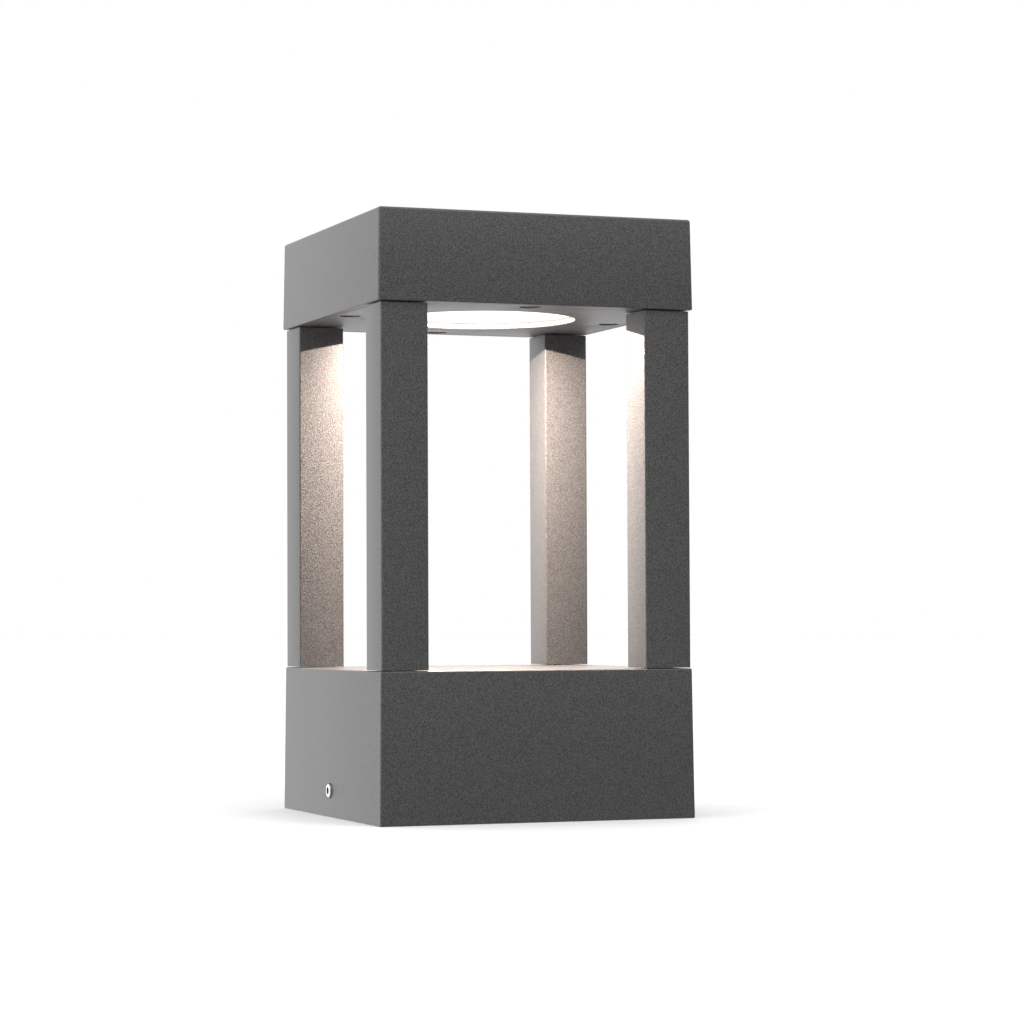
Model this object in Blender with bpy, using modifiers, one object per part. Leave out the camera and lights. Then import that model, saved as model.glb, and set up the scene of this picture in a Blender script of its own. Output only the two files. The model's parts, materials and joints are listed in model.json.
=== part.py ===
"""Square lantern-type bollard light, modelled as the separate pieces it is assembled from.

Metres, +Z up. The origin is the centre of the ground face and the front face looks along -Y.
From the ground up: a steel mounting bracket, the base shell that drops over it and holds the
driver, four square posts clamped by tie rods, and the head with its LED, shining down through
an opal window. The luminaire lifts off the bracket once the two side set screws are loosened.
"""

import math

import bmesh
import bpy
from mathutils import Matrix, Vector
from mathutils.geometry import interpolate_bezier

MM = 0.001
GAP = 0.3 * MM                    # clearance kept between pieces that touch

# Overall form
HEIGHT = 217 * MM
HEAD_HALF = 60 * MM               # half the width of the head at its lower rim
HEAD_HEIGHT = 33 * MM
HEAD_DRAFT = 0.5 * MM             # taken off each side between the rim and the top
BASE_HALF = 59.8 * MM             # half the width of the base at the ground
BASE_HEIGHT = 54 * MM
BASE_DRAFT = 0.6 * MM
HEAD_EDGE = 1.0 * MM              # radius of the cast uprights and top edges
BASE_EDGE = 0.6 * MM
RIM_RADIUS = 0.4 * MM             # lower rims
POST_WIDTH = 17.5 * MM
POST_INSET = 1.2 * MM             # post face behind the head's rim
POST_WALL = 2 * MM
POST_EDGE = 0.6 * MM
POST_SHADOW_GAP = 0.5 * MM        # open joint between a post and the head

RIM_Z = HEIGHT - HEAD_HEIGHT
POST_AT = HEAD_HALF - POST_INSET - POST_WIDTH / 2
CORNERS = {"front_left": (-1, -1), "front_right": (1, -1), "back_left": (-1, 1), "back_right": (1, 1)}
SIDES = {"front": (0, -1), "back": (0, 1), "left": (-1, 0), "right": (1, 0)}

# Screws: radius of the plain shank, and the pan head's radius, height and socket radius
M4, M5, M25 = 2 * MM, 2.5 * MM, 1.25 * MM
PAN_HEAD = {M4: (3.8 * MM, 2.4 * MM, 1.4 * MM), M25: (2.2 * MM, 1.6 * MM, 1 * MM)}
KEY_RADIUS = 1.44 * MM            # socket for a 2.5 mm hexagon key, across corners

# Head: the shell, the underside plate and the stack above the plate
RIM_WALL = 2.5 * MM
HEAD_WALL = 3 * MM
HEAD_CEILING = HEIGHT - 3 * MM
PLATE_HALF = HEAD_HALF - RIM_WALL - GAP
PLATE_THICK = 3 * MM
PLATE_EDGE = 0.3 * MM
PLATE_TOP = RIM_Z + PLATE_THICK
GASKET_THICK = 2 * MM
LEDGE_Z = PLATE_TOP + GASKET_THICK + 2 * GAP
LEDGE_HALF = 54.6 * MM
LEDGE_THICK = 3 * MM
GASKET_WIDTH = 1.7 * MM
ROD_BOSS_RADIUS = 5 * MM
HEAD_SCREW_AT = 51.5 * MM
HEAD_SCREW_RADIUS = 3.7 * MM
HEAD_SCREW_SUNK = 0.45 * MM
HEAD_SCREW_LENGTH = 14 * MM
HEAD_SCREW_BOSS = 3.4 * MM

OPENING_RADIUS = 35 * MM
WINDOW_RADIUS = 39.3 * MM
WINDOW_THICK = 3 * MM
WINDOW_REVEAL = 1.9 * MM          # depth of the plate's edge seen below the window
WINDOW_Z = RIM_Z + WINDOW_REVEAL + GAP
SEAL_Z = WINDOW_Z + WINDOW_THICK + GAP
SEAL_THICK = 1.5 * MM
SEAL_INSET = 0.5 * MM
CLAMP_Z = SEAL_Z + SEAL_THICK + GAP
CLAMP_THICK = 2 * MM
CLAMP_RADIUS = 46.5 * MM
CLAMP_INSET = 1.5 * MM            # how far the ring reaches in over the seal
CLAMP_SCREW_AT = 43.2 * MM
CLAMP_BOSS = 2.6 * MM
REFLECTOR_Z = CLAMP_Z + CLAMP_THICK + GAP

HEAT_PAD_Z = HEIGHT - 8.5 * MM    # lower face of the cast boss that cools the LED
HEAT_PAD_RADIUS = 26 * MM
BOARD_RADIUS = 22 * MM
BOARD_THICK = 1.5 * MM
THERMAL_THICK = 1 * MM
THERMAL_Z = HEAT_PAD_Z - GAP - THERMAL_THICK
BOARD_Z = THERMAL_Z - GAP - BOARD_THICK
EMITTER_RADIUS = 8 * MM
EMITTER_THICK = 0.9 * MM
LED_SCREW_AT = 18.5 * MM
LED_PAD_AT = 13.4 * MM            # where the leads meet the board, along X and Y

# Base: the shell, its cover and what hangs inside
BASE_WALL = 3 * MM
BASE_CEILING = BASE_HEIGHT - 3.5 * MM
COVER_Z = 20.6 * MM
COVER_THICK = 2 * MM
COVER_TOP = COVER_Z + COVER_THICK
BASE_GASKET_THICK = 1.4 * MM
BASE_LEDGE_Z = COVER_TOP + BASE_GASKET_THICK + 2 * GAP
BASE_LEDGE_HALF = 54 * MM
COVER_HALF = 56.2 * MM
COVER_SCREW_AT = 50 * MM
PILLAR_RADIUS = 3.6 * MM
SET_SCREW_Z = 9.6 * MM
SET_SCREW_PROUD = 0.8 * MM
GLAND_AT = (-22 * MM, 24 * MM)
GLAND_THREAD = 8 * MM
GLAND_BORE = 3.5 * MM
GLAND_FLANGE = (11.5 * MM, 3.5 * MM)    # radius and height of each hexagon
GLAND_LOCK_NUT = (11 * MM, 3.5 * MM)
GLAND_CAP_NUT = (10.8 * MM, 8 * MM)
DRIVER_SIZE = (84 * MM, 40 * MM, 20 * MM)
DRIVER_AT = (0, -20 * MM)
DRIVER_TOP = BASE_CEILING - GAP
DRIVER_FEET_AT = 36 * MM
DRIVER_FOOT_THICK = 3 * MM
TERMINAL_SIZE = (30 * MM, 18 * MM, 16 * MM)
TERMINAL_AT = (18 * MM, 22 * MM)
TERMINAL_PITCH = 9 * MM
TERMINAL_WELL = (2.4 * MM, 6 * MM)      # radius and depth of the hole over each screw
LEAD_LEVEL = DRIVER_TOP - 10 * MM
EARTH_AT = (-8 * MM, 40 * MM)
EARTH_BOSS_Z = 42 * MM
EARTH_BOSS_RADIUS = 3.5 * MM
EARTH_TAG = (3.4 * MM, 0.8 * MM)        # radius and thickness

# Mounting bracket
BRACKET_THICK = 2 * MM
BRACKET_HALF = 56 * MM            # to the outer face of each upturned tab
BRACKET_DEPTH = 56 * MM
BRACKET_TAB_Z = 16 * MM

# Tie rods and LED leads
ROD_BOTTOM = 44 * MM
ROD_TOP = RIM_Z + 21 * MM
NUT_RADIUS = 4 * MM
NUT_THICK = 4.2 * MM              # over the flange
FLANGE_RADIUS = 4.5 * MM
FLANGE_THICK = 1 * MM
LEAD_RADIUS = 0.75 * MM
LEAD_HOLE_AT = 45.6 * MM
LEAD_HOLE_RADIUS = 2.8 * MM

FINE, COARSE = 48, 14             # facets round a large and a small circle


def clear_scene():
    for obj in list(bpy.data.objects):
        bpy.data.objects.remove(obj)


def collection(name):
    group = bpy.data.collections.new(name)
    bpy.context.scene.collection.children.link(group)
    return group


def principled(name, color, roughness, metallic=0.0):
    material = bpy.data.materials.new(name)
    material.use_nodes = True
    shader = material.node_tree.nodes["Principled BSDF"]
    shader.inputs["Base Color"].default_value = (*color, 1)
    shader.inputs["Roughness"].default_value = roughness
    shader.inputs["Metallic"].default_value = metallic
    material.diffuse_color = (*color, 1)
    return material


clear_scene()
PARTS = collection("bollard_light")
TOOLS = collection("cutters")

COAT = principled("anthracite_powder_coat", (0.10, 0.10, 0.105), 0.6)
STAINLESS = principled("stainless_steel", (0.62, 0.61, 0.59), 0.3, 1)
ZINC = principled("zinc_plated_steel", (0.55, 0.56, 0.58), 0.4, 1)
ALUMINIUM = principled("bare_aluminium", (0.70, 0.70, 0.71), 0.4, 1)
BRASS = principled("nickel_brass", (0.65, 0.55, 0.35), 0.35, 1)
OPAL = principled("opal_acrylic", (0.95, 0.92, 0.86), 0.35)
WHITE = principled("white_reflector", (0.90, 0.90, 0.88), 0.4)
RUBBER = principled("black_rubber", (0.02, 0.02, 0.02), 0.8)
THERMAL = principled("grey_silicone", (0.45, 0.48, 0.50), 0.7)
BOARD = principled("white_solder_mask", (0.88, 0.88, 0.85), 0.4)
PHOSPHOR = principled("yellow_phosphor", (0.95, 0.72, 0.15), 0.5)
DRIVER = principled("white_driver_case", (0.80, 0.80, 0.78), 0.5)
NYLON = principled("grey_nylon", (0.35, 0.36, 0.37), 0.5)
RED = principled("red_insulation", (0.60, 0.04, 0.03), 0.5)
BLACK = principled("black_insulation", (0.03, 0.03, 0.03), 0.5)
BROWN = principled("brown_insulation", (0.20, 0.08, 0.03), 0.5)
BLUE = principled("blue_insulation", (0.03, 0.10, 0.50), 0.5)
GREEN = principled("green_yellow_insulation", (0.25, 0.50, 0.05), 0.5)


# ---------------------------------------------------------------- shape helpers

def place(name, bm, material):
    """Turns a bmesh into a named part."""
    mesh = bpy.data.meshes.new(name)
    bm.to_mesh(mesh)
    bm.free()
    mesh.materials.append(material)
    mesh.shade_smooth()
    mesh.set_sharp_from_angle(angle=math.radians(35))
    obj = bpy.data.objects.new(name, mesh)
    PARTS.objects.link(obj)
    return obj


def as_tool(obj):
    """Moves an object out of the parts, to cut or be joined to one."""
    PARTS.objects.unlink(obj)
    TOOLS.objects.link(obj)
    obj.hide_render = True
    obj.display_type = "WIRE"
    return obj


def combine(target, operation, *tools):
    for tool in tools:
        modifier = target.modifiers.new(tool.name, "BOOLEAN")
        modifier.operation = operation
        modifier.solver = "EXACT"
        modifier.object = as_tool(tool)
    return target


def cut(target, *tools):
    return combine(target, "DIFFERENCE", *tools)


def join(target, *tools):
    return combine(target, "UNION", *tools)


def tapered_box(name, low, high, z0, z1, material, radius=0.0, rim=0.0):
    """A box on the Z axis with half sizes low=(x, y) at z0 and high at z1. radius rounds the
    upright and top edges, rim the bottom ones."""
    bm = bmesh.new()
    bmesh.ops.create_cube(bm, size=2)
    for vert in bm.verts:
        half, z = (high, z1) if vert.co.z > 0 else (low, z0)
        vert.co = (vert.co.x * half[0], vert.co.y * half[1], z)
    middle = (z0 + z1) / 2
    if radius:
        upper = [e for e in bm.edges if max(v.co.z for v in e.verts) > middle]
        bmesh.ops.bevel(bm, geom=upper, offset=radius, segments=3, profile=0.5, affect="EDGES")
    if rim:
        lower = [e for e in bm.edges if max(v.co.z for v in e.verts) < z0 + MM / 100]
        bmesh.ops.bevel(bm, geom=lower, offset=rim, segments=2, profile=0.5, affect="EDGES")
    return place(name, bm, material)


def block(name, size, at, z0, material, radius=0.0):
    """An upright box of size (x, y, z) centred over at=(x, y), standing at z0."""
    half = (size[0] / 2, size[1] / 2)
    obj = tapered_box(name, half, half, z0, z0 + size[2], material)
    obj.location = (at[0], at[1], 0)
    if radius:
        bevel = obj.modifiers.new("edges", "BEVEL")
        bevel.width = radius
        bevel.segments = 2
    return obj


def square_ring(name, outer, inner, z0, thick, material):
    """A flat square ring, such as a gasket."""
    ring = tapered_box(name, (outer, outer), (outer, outer), z0, z0 + thick, material)
    hole = tapered_box(name + "_hole", (inner, inner), (inner, inner), z0 - MM, z0 + thick + MM, material)
    return cut(ring, hole)


def cylinders(name, places, radius, z0, z1, material, segments=COARSE):
    """Upright cylinders, one at each (x, y) of places, in one mesh. Six segments make a hexagon."""
    bm = bmesh.new()
    for x, y in places:
        where = Matrix.Translation((x, y, (z0 + z1) / 2))
        bmesh.ops.create_cone(bm, cap_ends=True, segments=segments, radius1=radius, radius2=radius,
                              depth=z1 - z0, matrix=where)
    return place(name, bm, material)


def turned(name, profile, material, segments=COARSE, closed=False, at=(0, 0, 0), rotation=(0, 0, 0)):
    """A shape turned about Z from (radius, height) points, which run top to bottom outside."""
    bm = bmesh.new()
    verts = [bm.verts.new((r, 0, z)) for r, z in profile]
    pairs = list(zip(verts, verts[1:])) + ([(verts[-1], verts[0])] if closed else [])
    for pair in pairs:
        bm.edges.new(pair)
    mesh = bpy.data.meshes.new(name)
    bm.to_mesh(mesh)
    bm.free()
    mesh.materials.append(material)
    obj = bpy.data.objects.new(name, mesh)
    PARTS.objects.link(obj)
    screw = obj.modifiers.new("turn", "SCREW")
    screw.steps = screw.render_steps = segments
    screw.use_merge_vertices = True
    screw.merge_threshold = 0.00001
    screw.use_smooth_shade = True
    obj.location = at
    obj.rotation_euler = rotation
    return obj


def flat_ring(name, inner, outer, z0, thick, material, segments=FINE, at=(0, 0)):
    profile = [(outer, z0 + thick), (outer, z0), (inner, z0), (inner, z0 + thick)]
    return turned(name, profile, material, segments, closed=True, at=(*at, 0))


def disc(name, radius, z0, thick, material, segments=FINE):
    return cylinders(name, [(0, 0)], radius, z0, z0 + thick, material, segments)


def pan_screw(name, thread, length, material, at, up=True):
    """A pan head screw with a hexagon socket. at is the seat of its head, and the shank runs up
    from there, or down where up is False."""
    head_radius, head_height, key = PAN_HEAD[thread]
    dome = head_radius * 0.8
    profile = [(0, length), (thread, length), (thread, 0), (head_radius, 0),
               (head_radius, -head_height * 0.6), (dome, -head_height), (0, -head_height)]
    flip = (0, 0, 0) if up else (math.pi, 0, 0)
    screw = turned(name, profile, material, at=at, rotation=flip)
    socket = cylinders(name + "_socket", [(0, 0)], key, -head_height - MM, -head_height * 0.4, material, 6)
    socket.location = at
    socket.rotation_euler = flip
    return cut(screw, socket)


def smooth_route(points, steps=3):
    """Points along a smooth curve through the given ones, with tangents set by the neighbours."""
    points = [Vector(p) for p in points]
    ends = [points[0]] + points + [points[-1]]
    route = []
    for before, start, end, after in zip(ends, ends[1:], ends[2:], ends[3:]):
        route += interpolate_bezier(start, start + (end - before) / 6, end - (after - start) / 6,
                                    end, steps + 1)[:-1]
    return route + [points[-1]]


def wire(name, points, material, radius=LEAD_RADIUS):
    curve = bpy.data.curves.new(name, "CURVE")
    curve.dimensions = "3D"
    curve.bevel_depth = radius
    curve.bevel_resolution = 2
    curve.use_fill_caps = True
    route = smooth_route(points)
    spline = curve.splines.new("POLY")
    spline.points.add(len(route) - 1)
    for point, place_ in zip(spline.points, route):
        point.co = (*place_, 1)
    curve.materials.append(material)
    obj = bpy.data.objects.new(name, curve)
    PARTS.objects.link(obj)
    return obj


def at_corners(distance):
    return [(x * distance, y * distance) for x, y in CORNERS.values()]


def at_sides(distance):
    return [(x * distance, y * distance) for x, y in SIDES.values()]


# ---------------------------------------------------------------- base and bracket

def mounting_bracket():
    """A strip of sheet steel with both ends turned up, slotted for ground fixings."""
    bend = 2 * MM
    outline = [(-BRACKET_HALF, BRACKET_TAB_Z), (-BRACKET_HALF, 0), (BRACKET_HALF, 0),
               (BRACKET_HALF, BRACKET_TAB_Z)]
    bm = bmesh.new()
    verts = [bm.verts.new((x, -BRACKET_DEPTH / 2, z)) for x, z in outline]
    edges = [bm.edges.new(pair) for pair in zip(verts, verts[1:])]
    swept = bmesh.ops.extrude_edge_only(bm, edges=edges)["geom"]
    moved = [v for v in swept if isinstance(v, bmesh.types.BMVert)]
    bmesh.ops.translate(bm, verts=moved, vec=(0, BRACKET_DEPTH, 0))
    folds = [e for e in bm.edges if len(e.link_faces) == 2]
    bmesh.ops.bevel(bm, geom=folds, offset=bend, segments=3, profile=0.5, affect="EDGES")
    bmesh.ops.recalc_face_normals(bm, faces=bm.faces)
    inward = next(f for f in bm.faces if abs(f.normal.z) > 0.9).normal.z > 0
    if inward:
        bmesh.ops.reverse_faces(bm, faces=bm.faces)
    bracket = place("mounting_bracket", bm, ZINC)
    sheet = bracket.modifiers.new("sheet", "SOLIDIFY")
    sheet.thickness = BRACKET_THICK
    sheet.offset = -1
    slots = [block(f"anchor_slot_{side}", (14 * MM, 5.5 * MM, 6 * MM), (side * 34 * MM, 0), -2 * MM, ZINC)
             for side in (-1, 1)]
    entry = cylinders("bracket_cable_hole", [(0, 0)], 15 * MM, -2 * MM, 4 * MM, ZINC, 28)
    return cut(bracket, entry, *slots)


def base_shell():
    """The cast base: an open-bottomed box with a ledge for the cover's gasket and screw pillars."""
    top_half = BASE_HALF - BASE_DRAFT
    inner = BASE_HALF - BASE_WALL
    upper = top_half - BASE_WALL
    shell = tapered_box("base_shell", (BASE_HALF,) * 2, (top_half,) * 2, 0, BASE_HEIGHT, COAT,
                        BASE_EDGE, RIM_RADIUS)
    ledge_top = BASE_LEDGE_Z + 3 * MM
    cut(shell,
        tapered_box("base_skirt_hollow", (inner,) * 2, (inner,) * 2, -MM, BASE_LEDGE_Z, COAT),
        tapered_box("base_ledge_hollow", (BASE_LEDGE_HALF,) * 2, (BASE_LEDGE_HALF,) * 2,
                    BASE_LEDGE_Z - MM, ledge_top + MM, COAT),
        tapered_box("base_chamber", (upper,) * 2, (upper,) * 2, ledge_top, BASE_CEILING, COAT))
    join(shell,
         cylinders("cover_pillars", at_sides(COVER_SCREW_AT), PILLAR_RADIUS, COVER_TOP + GAP,
                   BASE_CEILING + MM, COAT),
         cylinders("earth_boss", [EARTH_AT], EARTH_BOSS_RADIUS, EARTH_BOSS_Z, BASE_CEILING + MM, COAT))
    side_holes = cylinders("set_screw_holes", [(0, 0)], M5 + GAP, -2 * BASE_HALF, 2 * BASE_HALF, COAT)
    side_holes.rotation_euler = (0, math.pi / 2, 0)
    side_holes.location.z = SET_SCREW_Z
    return cut(shell, side_holes,
               cylinders("cover_screw_holes", at_sides(COVER_SCREW_AT), M4 + GAP, COVER_Z, 36 * MM, COAT),
               cylinders("earth_hole", [EARTH_AT], M25 + GAP, EARTH_BOSS_Z - MM, BASE_CEILING, COAT),
               cylinders("rod_holes_base", at_corners(POST_AT), M4 + GAP, BASE_CEILING - MM,
                         BASE_HEIGHT + MM, COAT),
               cylinders("lead_hole_base", [(LEAD_HOLE_AT,) * 2], LEAD_HOLE_RADIUS, BASE_CEILING - MM,
                         BASE_HEIGHT + MM, COAT))


def base_cover():
    """Closes the driver chamber from below, against a cord gasket, with one screw a side."""
    cover = tapered_box("base_cover", (COVER_HALF,) * 2, (COVER_HALF,) * 2, COVER_Z, COVER_TOP, ZINC)
    cut(cover,
        cylinders("cover_clearance", at_sides(COVER_SCREW_AT), M4 + GAP, COVER_Z - MM, COVER_TOP + MM,
                  ZINC),
        cylinders("gland_clearance", [GLAND_AT], GLAND_THREAD + GAP, COVER_Z - MM, COVER_TOP + MM,
                  ZINC, 16))
    square_ring("base_gasket", COVER_HALF - GAP, BASE_LEDGE_HALF + GAP, COVER_TOP + GAP,
                BASE_GASKET_THICK, RUBBER)
    for side, (x, y) in SIDES.items():
        pan_screw(f"cover_screw_{side}", M4, 12 * MM, STAINLESS,
                  (x * COVER_SCREW_AT, y * COVER_SCREW_AT, COVER_Z - GAP))


def cable_gland():
    """A gland in the base cover for the supply cable: body, lock nut inside, cap nut outside."""
    seat = COVER_Z - GAP
    (flange_radius, flange), (lock_radius, lock_height) = GLAND_FLANGE, GLAND_LOCK_NUT
    cap_radius, cap_height = GLAND_CAP_NUT
    neck_low, neck_high = seat - flange - 5 * MM, seat + 9 * MM
    body = cylinders("cable_gland", [GLAND_AT], flange_radius, seat - flange, seat, NYLON, 6)
    join(body, cylinders("gland_neck", [GLAND_AT], GLAND_THREAD, neck_low, neck_high, NYLON, 16))
    cut(body, cylinders("gland_bore", [GLAND_AT], GLAND_BORE, neck_low - MM, neck_high + MM, NYLON))

    lock_low = COVER_TOP + GAP
    lock = cylinders("gland_lock_nut", [GLAND_AT], lock_radius, lock_low, lock_low + lock_height, NYLON, 6)
    cut(lock, cylinders("lock_nut_bore", [GLAND_AT], GLAND_THREAD + GAP, lock_low - MM,
                        lock_low + lock_height + MM, NYLON, 16))

    cap_top = seat - flange - GAP
    cap = cylinders("gland_cap_nut", [GLAND_AT], cap_radius, cap_top - cap_height, cap_top, NYLON, 6)
    cut(cap, cylinders("cap_nut_thread", [GLAND_AT], GLAND_THREAD + GAP, neck_low - GAP, cap_top + MM,
                       NYLON, 16),
        cylinders("cap_nut_mouth", [GLAND_AT], GLAND_BORE + GAP, cap_top - cap_height - MM, cap_top, NYLON))


def set_screws():
    """Hexagon-socket screws through the base's left and right walls. Their tips bear on the
    bracket's tabs. Each has its origin on its own axis."""
    for side, sign in (("left", -1), ("right", 1)):
        outer = BASE_HALF + SET_SCREW_PROUD
        tip = BRACKET_HALF + GAP
        length, chamfer = outer - tip, 0.4 * MM
        profile = [(0, length), (M5 - chamfer, length), (M5, length - chamfer), (M5, chamfer),
                   (M5 - chamfer, 0), (0, 0)]
        turn = (0, sign * math.pi / 2, 0)
        where = (sign * tip, 0, SET_SCREW_Z)
        screw = turned(f"set_screw_{side}", profile, STAINLESS, 16, at=where, rotation=turn)
        socket = cylinders(f"set_screw_socket_{side}", [(0, 0)], KEY_RADIUS, length - 2.5 * MM,
                           length + MM, STAINLESS, 6)
        socket.location, socket.rotation_euler = where, turn
        cut(screw, socket)


def driver_chamber():
    """The driver, the terminal block and the earth point, all hung from the base's ceiling."""
    driver_z, foot_z = DRIVER_TOP - DRIVER_SIZE[2], DRIVER_TOP - DRIVER_FOOT_THICK
    driver = block("led_driver", DRIVER_SIZE, DRIVER_AT, driver_z, DRIVER, 1.2 * MM)
    feet = [(DRIVER_AT[0] + sign * DRIVER_FEET_AT, DRIVER_AT[1]) for sign in (-1, 1)]
    cut(driver, cylinders("driver_screw_ways", feet, 3.4 * MM, driver_z - MM, foot_z, DRIVER),
        cylinders("driver_screw_holes", feet, M25 + GAP, driver_z, DRIVER_TOP + MM, DRIVER))
    for number, (x, y) in enumerate(feet, 1):
        pan_screw(f"driver_screw_{number}", M25, DRIVER_FOOT_THICK, STAINLESS, (x, y, foot_z - GAP))

    terminal_z = DRIVER_TOP - TERMINAL_SIZE[2]
    well_radius, well_depth = TERMINAL_WELL
    terminal = block("terminal_block", TERMINAL_SIZE, TERMINAL_AT, terminal_z, NYLON, 0.8 * MM)
    poles = [(TERMINAL_AT[0] + offset * TERMINAL_PITCH, TERMINAL_AT[1]) for offset in (-1, 0, 1)]
    cut(terminal, cylinders("terminal_wells", poles, well_radius, terminal_z - MM, terminal_z + well_depth,
                            NYLON))
    screw_z = terminal_z + 1.5 * MM
    for number, (x, y) in enumerate(poles, 1):
        screw = cylinders(f"terminal_screw_{number}", [(x, y)], well_radius - 0.4 * MM, screw_z,
                          terminal_z + well_depth - GAP, BRASS)
        cut(screw, block(f"terminal_screw_slot_{number}", (5 * MM, 0.7 * MM, 2 * MM), (x, y),
                         screw_z - 1.1 * MM, BRASS))

    tag_radius, tag_thick = EARTH_TAG
    flat_ring("earth_tag", M25 + GAP, tag_radius, EARTH_BOSS_Z - GAP - tag_thick, tag_thick, BRASS, COARSE,
              EARTH_AT)
    pan_screw("earth_screw", M25, 7 * MM, BRASS, (*EARTH_AT, EARTH_BOSS_Z - 2 * GAP - tag_thick))


def chamber_wiring():
    """Short leads between the driver, the terminal block and the earth tag."""
    back = DRIVER_AT[1] + DRIVER_SIZE[1] / 2 + GAP
    front = TERMINAL_AT[1] - TERMINAL_SIZE[1] / 2 - GAP
    middle, sag = (back + front) / 2, 3 * MM
    for name, pole, material in (("mains_lead_live", 0, BROWN), ("mains_lead_neutral", 1, BLUE)):
        x = TERMINAL_AT[0] + pole * TERMINAL_PITCH
        wire(name, [(x, back, LEAD_LEVEL), (x + MM, middle, LEAD_LEVEL - sag), (x, front, LEAD_LEVEL)],
             material)
    side, exit_y = TERMINAL_AT[0] - TERMINAL_SIZE[0] / 2 - GAP, TERMINAL_AT[1] + 4 * MM
    (tag_x, tag_y), (tag_radius, tag_thick) = EARTH_AT, EARTH_TAG
    tag_z = EARTH_BOSS_Z - GAP - tag_thick / 2
    wire("earth_lead", [(side, exit_y, LEAD_LEVEL), (side - 5 * MM, exit_y + 3 * MM, LEAD_LEVEL - MM),
                        (tag_x + 3 * MM, tag_y - 2 * tag_radius, tag_z - MM),
                        (tag_x, tag_y - tag_radius - 4 * GAP, tag_z)], GREEN)


# ---------------------------------------------------------------- posts and tie rods

def posts():
    """Four square tubes, each clamped between base and head by the tie rod inside it and a flange nut."""
    half, bore = POST_WIDTH / 2, POST_WIDTH / 2 - POST_WALL
    low, high = BASE_HEIGHT + GAP, RIM_Z - POST_SHADOW_GAP
    nut_top = BASE_CEILING - GAP
    nut_z = nut_top - NUT_THICK
    for corner, (x, y) in CORNERS.items():
        at = (x * POST_AT, y * POST_AT)
        bm = bmesh.new()
        bmesh.ops.create_cube(bm, size=1)
        bmesh.ops.scale(bm, verts=bm.verts, vec=(POST_WIDTH, POST_WIDTH, high - low))
        bmesh.ops.translate(bm, verts=bm.verts, vec=(0, 0, (low + high) / 2))
        upright = [e for e in bm.edges if abs(e.verts[0].co.z - e.verts[1].co.z) > MM]
        bmesh.ops.bevel(bm, geom=upright, offset=POST_EDGE, segments=2, profile=0.5, affect="EDGES")
        post = place(f"post_{corner}", bm, COAT)
        post.location = (*at, 0)
        hollow = tapered_box(f"post_bore_{corner}", (bore, bore), (bore, bore), low - MM, high + MM, COAT)
        hollow.location = (*at, 0)
        cut(post, hollow)
        cylinders(f"tie_rod_{corner}", [at], M4, ROD_BOTTOM, ROD_TOP, ZINC, 12)
        nut = cylinders(f"tie_nut_{corner}", [at], NUT_RADIUS, nut_z, nut_top - FLANGE_THICK / 2, ZINC, 6)
        join(nut, cylinders(f"tie_nut_flange_{corner}", [at], FLANGE_RADIUS, nut_top - FLANGE_THICK, nut_top,
                            ZINC))
        cut(nut, cylinders(f"tie_nut_bore_{corner}", [at], M4 + GAP, nut_z - MM, nut_top + MM, ZINC, 12))


# ---------------------------------------------------------------- head

def head_shell():
    """The cast head: an inverted tray with a gasket ledge, screw bosses and a cooling boss."""
    top_half = HEAD_HALF - HEAD_DRAFT
    rim = HEAD_HALF - RIM_WALL
    chamber = top_half - HEAD_WALL
    ledge_top = LEDGE_Z + LEDGE_THICK
    shell = tapered_box("head_shell", (HEAD_HALF,) * 2, (top_half,) * 2, RIM_Z, HEIGHT, COAT,
                        HEAD_EDGE, RIM_RADIUS)
    cut(shell,
        tapered_box("head_rim_hollow", (rim,) * 2, (rim,) * 2, RIM_Z - MM, LEDGE_Z, COAT),
        tapered_box("head_ledge_hollow", (LEDGE_HALF,) * 2, (LEDGE_HALF,) * 2, LEDGE_Z - MM,
                    ledge_top + MM, COAT),
        tapered_box("head_chamber", (chamber,) * 2, (chamber,) * 2, ledge_top, HEAD_CEILING, COAT))
    boss_z, into = PLATE_TOP + GAP, HEAD_CEILING + MM
    join(shell,
         cylinders("rod_bosses", at_corners(POST_AT), ROD_BOSS_RADIUS, boss_z, into, COAT),
         cylinders("screw_bosses", at_sides(HEAD_SCREW_AT), HEAD_SCREW_BOSS, boss_z, into, COAT),
         cylinders("cooling_boss", [(0, 0)], HEAT_PAD_RADIUS, HEAT_PAD_Z, into, COAT, 28))
    led_screws = [(-LED_SCREW_AT, 0), (LED_SCREW_AT, 0)]
    return cut(shell,
               cylinders("rod_holes_head", at_corners(POST_AT), M4 + GAP, RIM_Z, ROD_TOP + MM, COAT),
               cylinders("screw_holes_head", at_sides(HEAD_SCREW_AT), M4 + GAP, RIM_Z, RIM_Z + 16 * MM, COAT),
               cylinders("led_screw_holes", led_screws, M25 + GAP, HEAT_PAD_Z - MM, HEAT_PAD_Z + 4 * MM, COAT))


def countersink_profile(radius, sunk, z0):
    """The hole for a countersunk head: a short cylinder, then a cone down to the thread."""
    cone = radius - M4
    clear = radius + GAP
    return [(0, z0 + PLATE_THICK + MM), (M4 + GAP, z0 + PLATE_THICK + MM), (M4 + GAP, z0 + sunk + cone + GAP),
            (clear, z0 + sunk + GAP), (clear, z0 - MM), (0, z0 - MM)]


def clamp_screw_places():
    angles = (math.radians(120 * third + 15) for third in range(3))
    return [(CLAMP_SCREW_AT * math.cos(a), CLAMP_SCREW_AT * math.sin(a)) for a in angles]


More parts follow.
